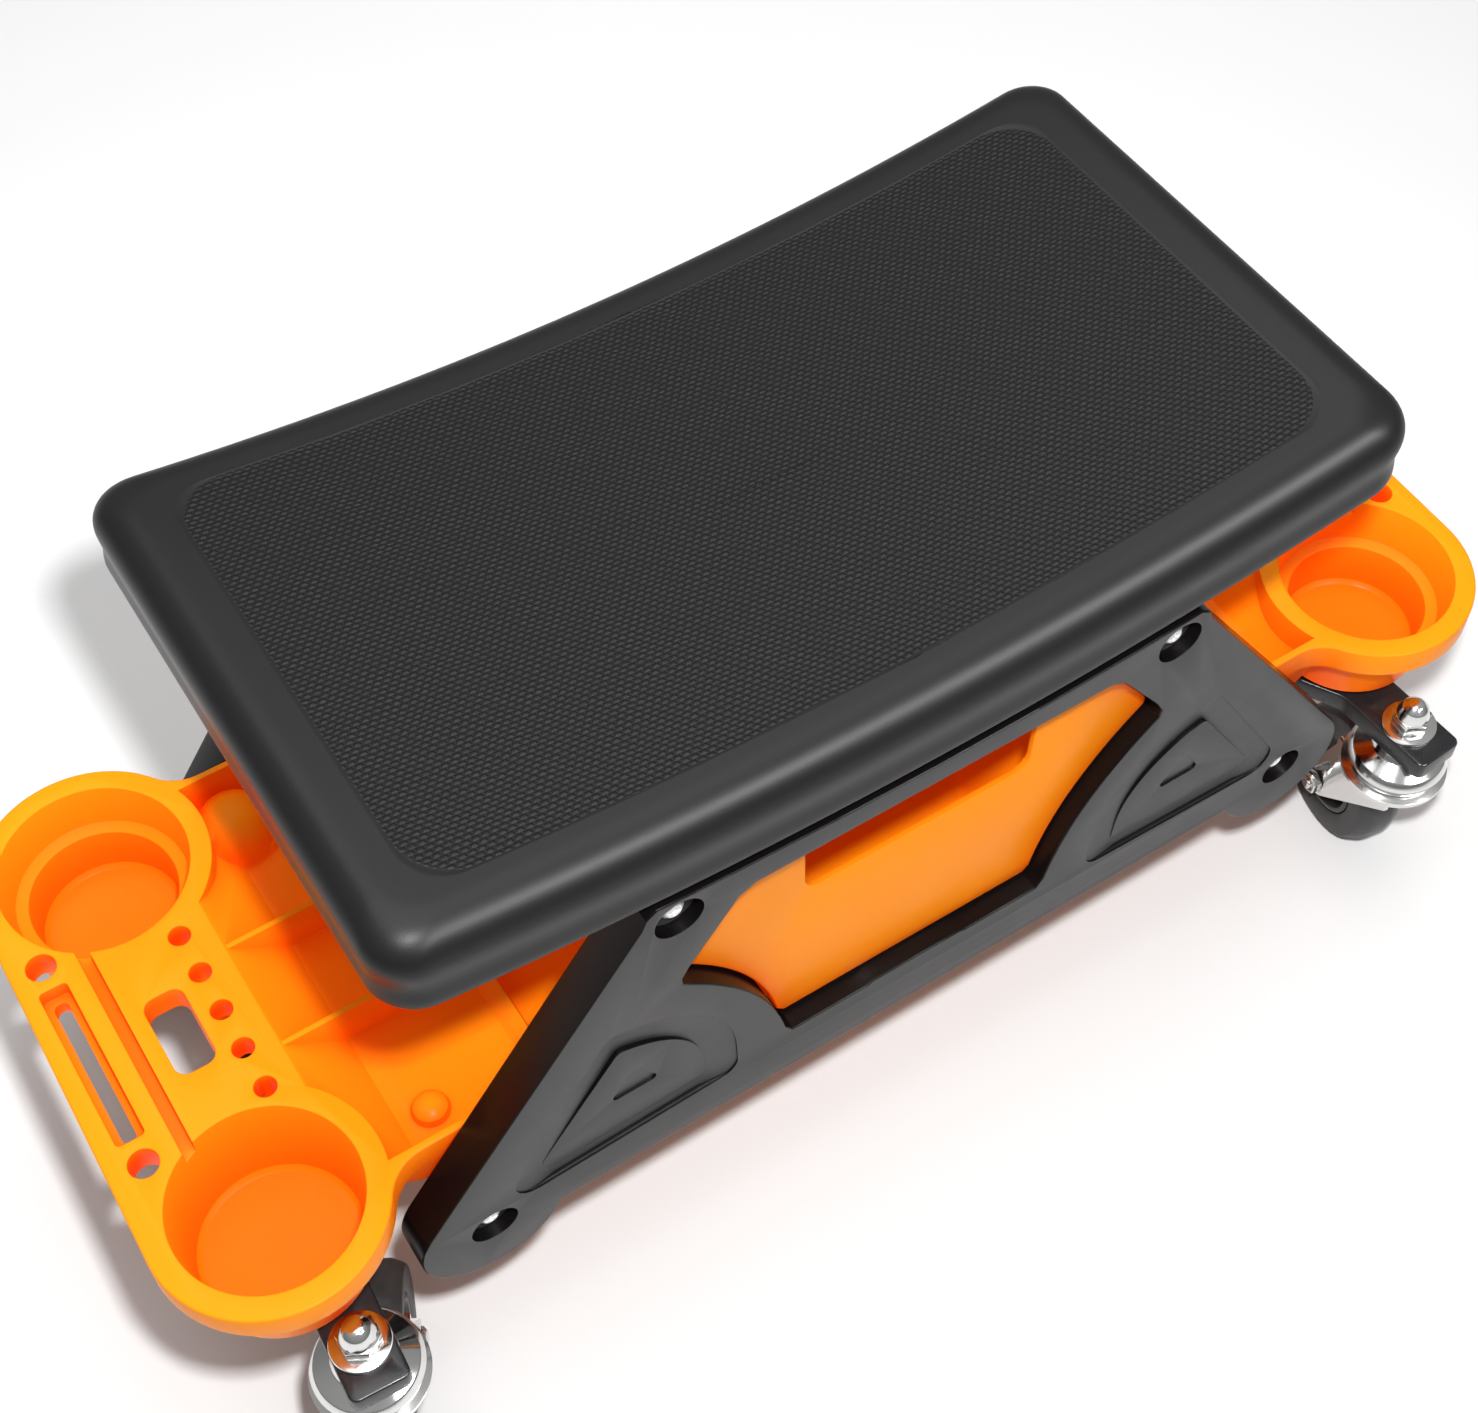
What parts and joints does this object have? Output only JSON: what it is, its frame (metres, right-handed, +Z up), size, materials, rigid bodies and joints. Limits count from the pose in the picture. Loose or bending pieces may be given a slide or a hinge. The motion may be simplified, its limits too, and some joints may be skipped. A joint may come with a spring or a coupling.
{
  "type": "mechanics creeper",
  "caption": "Rolling mechanic's seat: padded saddle seat on two side panels, tool tray with cups at both ends, sliding drawers and swivel casters.",
  "frame": {"origin": "on the floor, below the middle of the seat", "axes": "+X along the seat's long axis towards the right end, -Y towards the front side panel, +Z up"},
  "size_m": [0.6464, 0.3142, 0.3305],
  "materials": {
    "seat_vinyl": "black vinyl with a fine woven grain and a smooth satin border",
    "black_plastic": "black moulded plastic, satin with a fine grain",
    "orange_plastic": "orange moulded plastic, semi-gloss",
    "black_steel": "black powder-coated steel",
    "zinc_steel": "bright zinc-plated steel",
    "wheel_rubber": "black hard rubber tread",
    "hub_plastic": "black moulded hub"
  },
  "bodies": {
    "frame": {"seat_cushion": "seat_vinyl", "seat_pan": "black_plastic", "front_side_panel": "black_plastic", "front_screw_left_top": "zinc_steel", "front_screw_left_low": "zinc_steel", "front_screw_right_top": "zinc_steel", "front_screw_right_low": "zinc_steel", "rear_side_panel": "black_plastic", "rear_screw_left_top": "zinc_steel", "rear_screw_left_low": "zinc_steel", "rear_screw_right_top": "zinc_steel", "rear_screw_right_low": "zinc_steel", "tool_tray": "orange_plastic", "left_crossbar": "black_steel", "left_tray_bolt_a": "zinc_steel", "left_tray_bolt_b": "zinc_steel", "right_crossbar": "black_steel", "right_tray_bolt_a": "zinc_steel", "right_tray_bolt_b": "zinc_steel", "left_front_stem_bolt": "zinc_steel", "left_front_washer": "zinc_steel", "left_front_dome_nut": "zinc_steel", "left_front_upper_race": "zinc_steel", "right_front_stem_bolt": "zinc_steel", "right_front_washer": "zinc_steel", "right_front_dome_nut": "zinc_steel", "right_front_upper_race": "zinc_steel", "left_rear_stem_bolt": "zinc_steel", "left_rear_washer": "zinc_steel", "left_rear_dome_nut": "zinc_steel", "left_rear_upper_race": "zinc_steel", "right_rear_stem_bolt": "zinc_steel", "right_rear_washer": "zinc_steel", "right_rear_dome_nut": "zinc_steel", "right_rear_upper_race": "zinc_steel"},
    "front_drawer": {"front_drawer": "orange_plastic"},
    "rear_drawer": {"rear_drawer": "orange_plastic"},
    "left_front_caster": {"left_front_fork": "zinc_steel", "left_front_axle_bolt": "zinc_steel", "left_front_axle_nut": "zinc_steel"},
    "left_front_wheel": {"left_front_tyre": "wheel_rubber", "left_front_hub": "hub_plastic"},
    "right_front_caster": {"right_front_fork": "zinc_steel", "right_front_axle_bolt": "zinc_steel", "right_front_axle_nut": "zinc_steel"},
    "right_front_wheel": {"right_front_tyre": "wheel_rubber", "right_front_hub": "hub_plastic"},
    "left_rear_caster": {"left_rear_fork": "zinc_steel", "left_rear_axle_bolt": "zinc_steel", "left_rear_axle_nut": "zinc_steel"},
    "left_rear_wheel": {"left_rear_tyre": "wheel_rubber", "left_rear_hub": "hub_plastic"},
    "right_rear_caster": {"right_rear_fork": "zinc_steel", "right_rear_axle_bolt": "zinc_steel", "right_rear_axle_nut": "zinc_steel"},
    "right_rear_wheel": {"right_rear_tyre": "wheel_rubber", "right_rear_hub": "hub_plastic"}
  },
  "joints": [
    {"name": "front_drawer_slide", "type": "slide", "parent": "frame", "child": "front_drawer", "axis": [0, -1, 0], "range_m": [0, 0.075]},
    {"name": "rear_drawer_slide", "type": "slide", "parent": "frame", "child": "rear_drawer", "axis": [0, 1, 0], "range_m": [0, 0.075]},
    {"name": "left_front_swivel", "type": "hinge", "parent": "frame", "child": "left_front_caster", "pos_m": [-0.26761, -0.13277, 0.08247], "axis": [0, 0, 1], "continuous": true},
    {"name": "left_front_wheel_spin", "type": "hinge", "parent": "left_front_caster", "child": "left_front_wheel", "pos_m": [-0.25544, -0.10889, 0.03402], "axis": [-0.891, 0.454, 0], "continuous": true},
    {"name": "right_front_swivel", "type": "hinge", "parent": "frame", "child": "right_front_caster", "pos_m": [0.26761, -0.13277, 0.08247], "axis": [0, 0, 1], "continuous": true},
    {"name": "right_front_wheel_spin", "type": "hinge", "parent": "right_front_caster", "child": "right_front_wheel", "pos_m": [0.27226, -0.10638, 0.03402], "axis": [-0.9848, 0.1736, 0], "continuous": true},
    {"name": "left_rear_swivel", "type": "hinge", "parent": "frame", "child": "left_rear_caster", "pos_m": [-0.26761, 0.13277, 0.08247], "axis": [0, 0, 1], "continuous": true},
    {"name": "left_rear_wheel_spin", "type": "hinge", "parent": "left_rear_caster", "child": "left_rear_wheel", "pos_m": [-0.2444, 0.11937, 0.03402], "axis": [0.5, 0.866, 0], "continuous": true},
    {"name": "right_rear_swivel", "type": "hinge", "parent": "frame", "child": "right_rear_caster", "pos_m": [0.26761, 0.13277, 0.08247], "axis": [0, 0, 1], "continuous": true},
    {"name": "right_rear_wheel_spin", "type": "hinge", "parent": "right_rear_caster", "child": "right_rear_wheel", "pos_m": [0.25932, 0.10728, 0.03402], "axis": [0.9511, -0.309, 0], "continuous": true}
  ]
}
